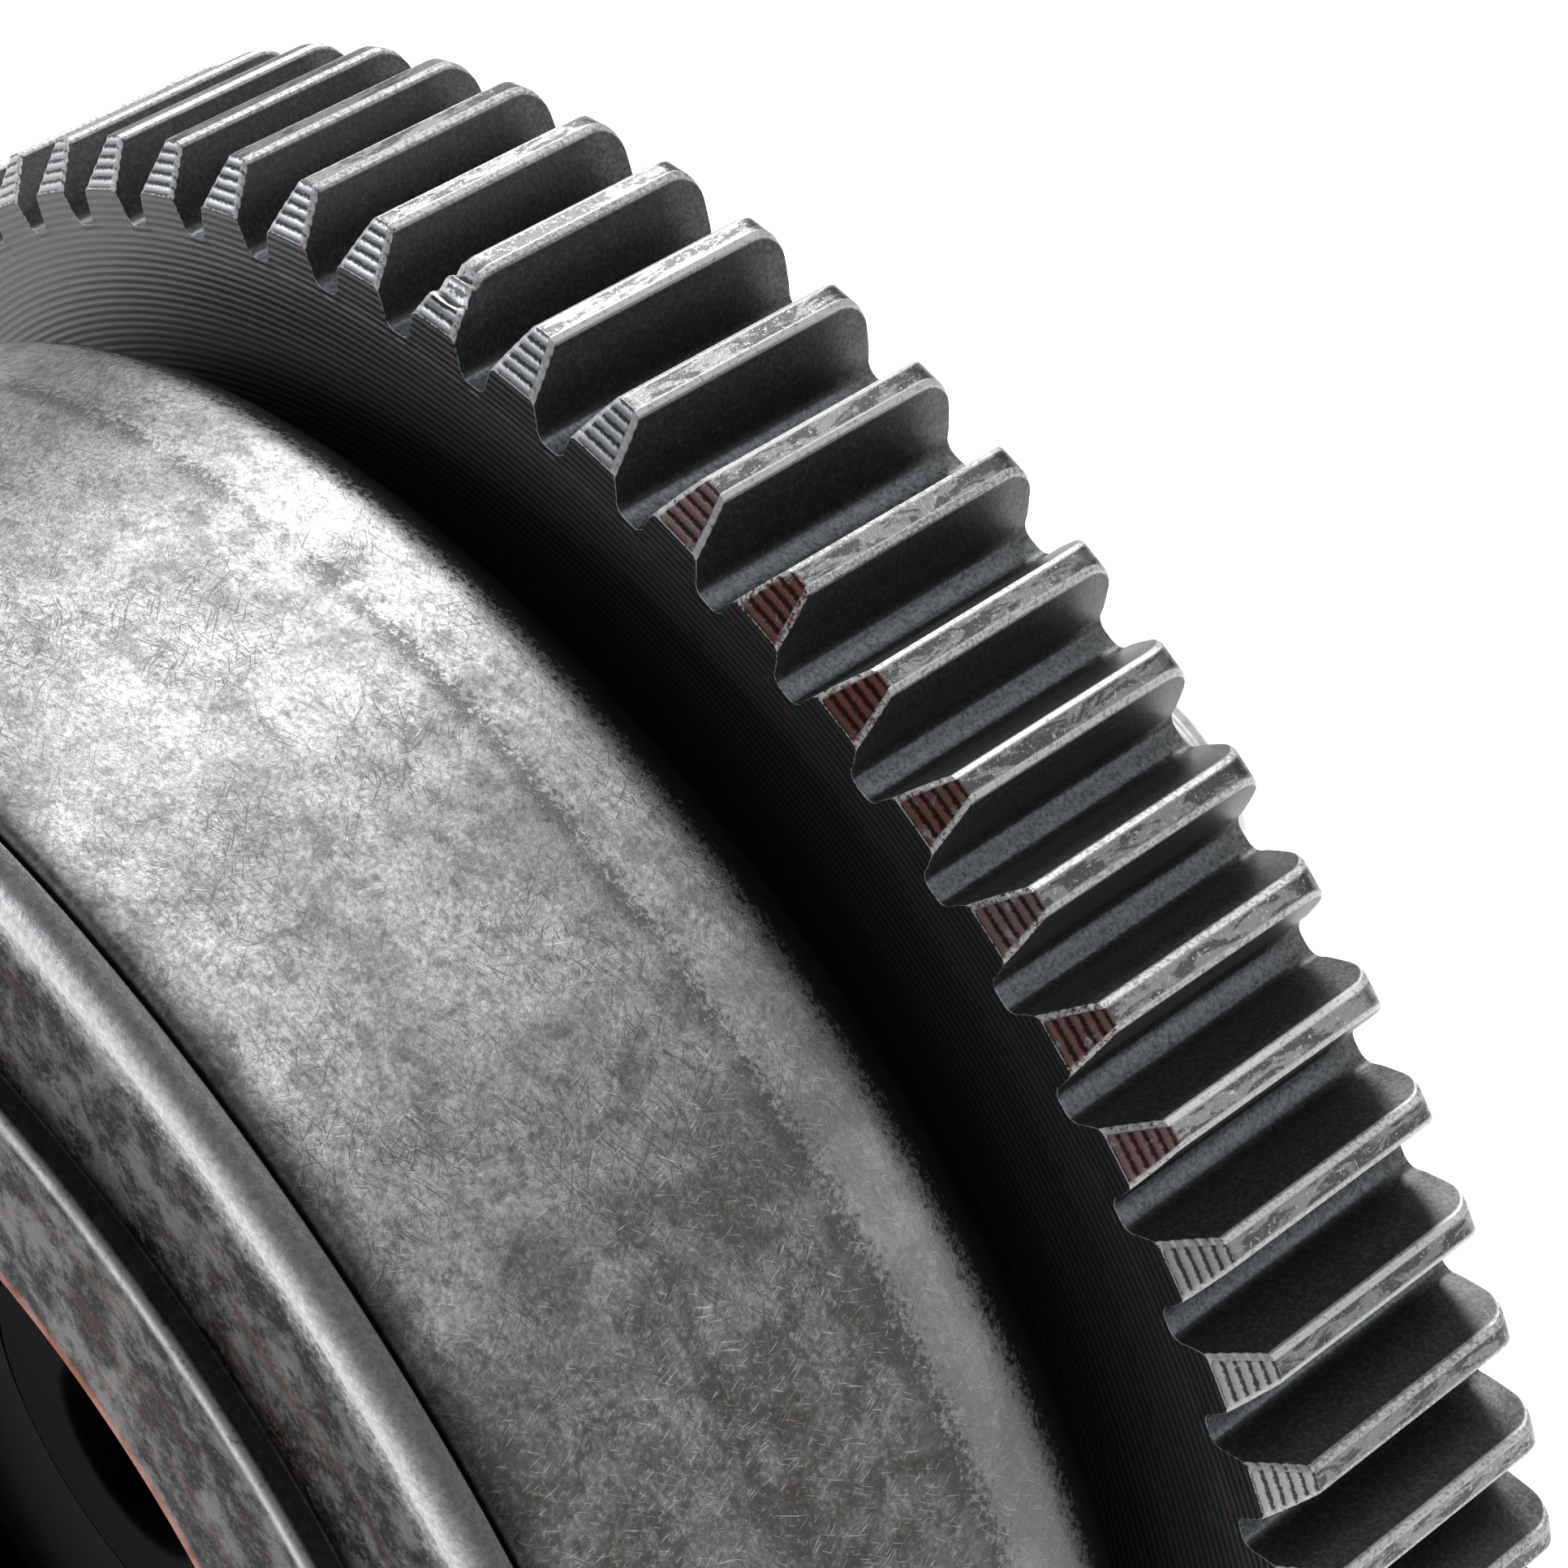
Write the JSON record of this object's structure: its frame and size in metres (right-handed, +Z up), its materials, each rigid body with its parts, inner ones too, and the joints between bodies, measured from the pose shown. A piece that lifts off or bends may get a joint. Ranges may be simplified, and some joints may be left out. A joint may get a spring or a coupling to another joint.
{
  "type": "geared overrunning clutch",
  "caption": "Black spur ring gear bolted to a smooth silver clutch drum, turning on ball bearings round a hollow hub with a roller clutch inside.",
  "frame": {"origin": "on the axis of rotation, in the hub's bore, at the middle of the gear's face width", "axes": "+Y along the axis from the drum's open front to the lock nut, +Z up, +X to the right seen from the front"},
  "size_m": [0.105, 0.0702, 0.105],
  "materials": {
    "gear_black_steel": "black oxide, worn bright on the tooth tips",
    "drum_steel": "satin, handled and finely scratched",
    "cover_steel": "mottled grey-brown with bright rubbed edges",
    "rear_cover_steel": "turned, oiled",
    "hub_steel": "ground",
    "race_steel": "hardened and ground",
    "bearing_steel": "polished",
    "ball_steel": "polished",
    "black_rubber": "matt",
    "cage_brass": "machined",
    "fastener_steel": "black oxide",
    "spring_steel": "blued"
  },
  "bodies": {
    "hub": {"hub_sleeve": "hub_steel", "clutch_cam": "race_steel", "cam_key": "hub_steel", "front_spacer": "hub_steel", "rear_spacer": "hub_steel", "hub_circlip": "spring_steel", "tab_washer": "fastener_steel", "lock_nut": "fastener_steel", "front_bearing_inner_ring": "bearing_steel", "rear_bearing_inner_ring": "bearing_steel"},
    "drum": {"ring_gear": "gear_black_steel", "clutch_drum": "drum_steel", "outer_race": "race_steel", "front_cover": "cover_steel", "rear_cover": "rear_cover_steel", "rear_bearing_housing": "rear_cover_steel", "housing_circlip": "spring_steel", "front_seal": "black_rubber", "cover_screws": "fastener_steel", "dowel_pins": "fastener_steel", "front_bearing_outer_ring": "bearing_steel", "rear_bearing_outer_ring": "bearing_steel"},
    "rollers": {"clutch_rollers": "ball_steel", "roller_springs": "spring_steel"},
    "front_ball_set": {"front_bearing_balls": "ball_steel", "front_bearing_cage": "cage_brass"},
    "rear_ball_set": {"rear_bearing_balls": "ball_steel", "rear_bearing_cage": "cage_brass"}
  },
  "joints": [
    {"name": "drum_spin", "type": "hinge", "parent": "hub", "child": "drum", "pos_m": [0, 0, 0], "axis": [0, 1, 0], "continuous": true},
    {"name": "front_balls_spin", "type": "hinge", "parent": "hub", "child": "front_ball_set", "pos_m": [0, -0.018, 0], "axis": [0, 1, 0], "continuous": true},
    {"name": "rear_balls_spin", "type": "hinge", "parent": "hub", "child": "rear_ball_set", "pos_m": [0, 0.014, 0], "axis": [0, 1, 0], "continuous": true},
    {"name": "roller_shift", "type": "hinge", "parent": "hub", "child": "rollers", "pos_m": [0, 0, 0], "axis": [0, 1, 0], "range_deg": [0, 4], "stiffness_Nm_per_rad": 0.5, "springref_deg": -5.73}
  ],
  "couplings": [
    {"joint": "front_balls_spin", "follows": "drum_spin", "ratio": 0.6024},
    {"joint": "rear_balls_spin", "follows": "drum_spin", "ratio": 0.6024}
  ]
}
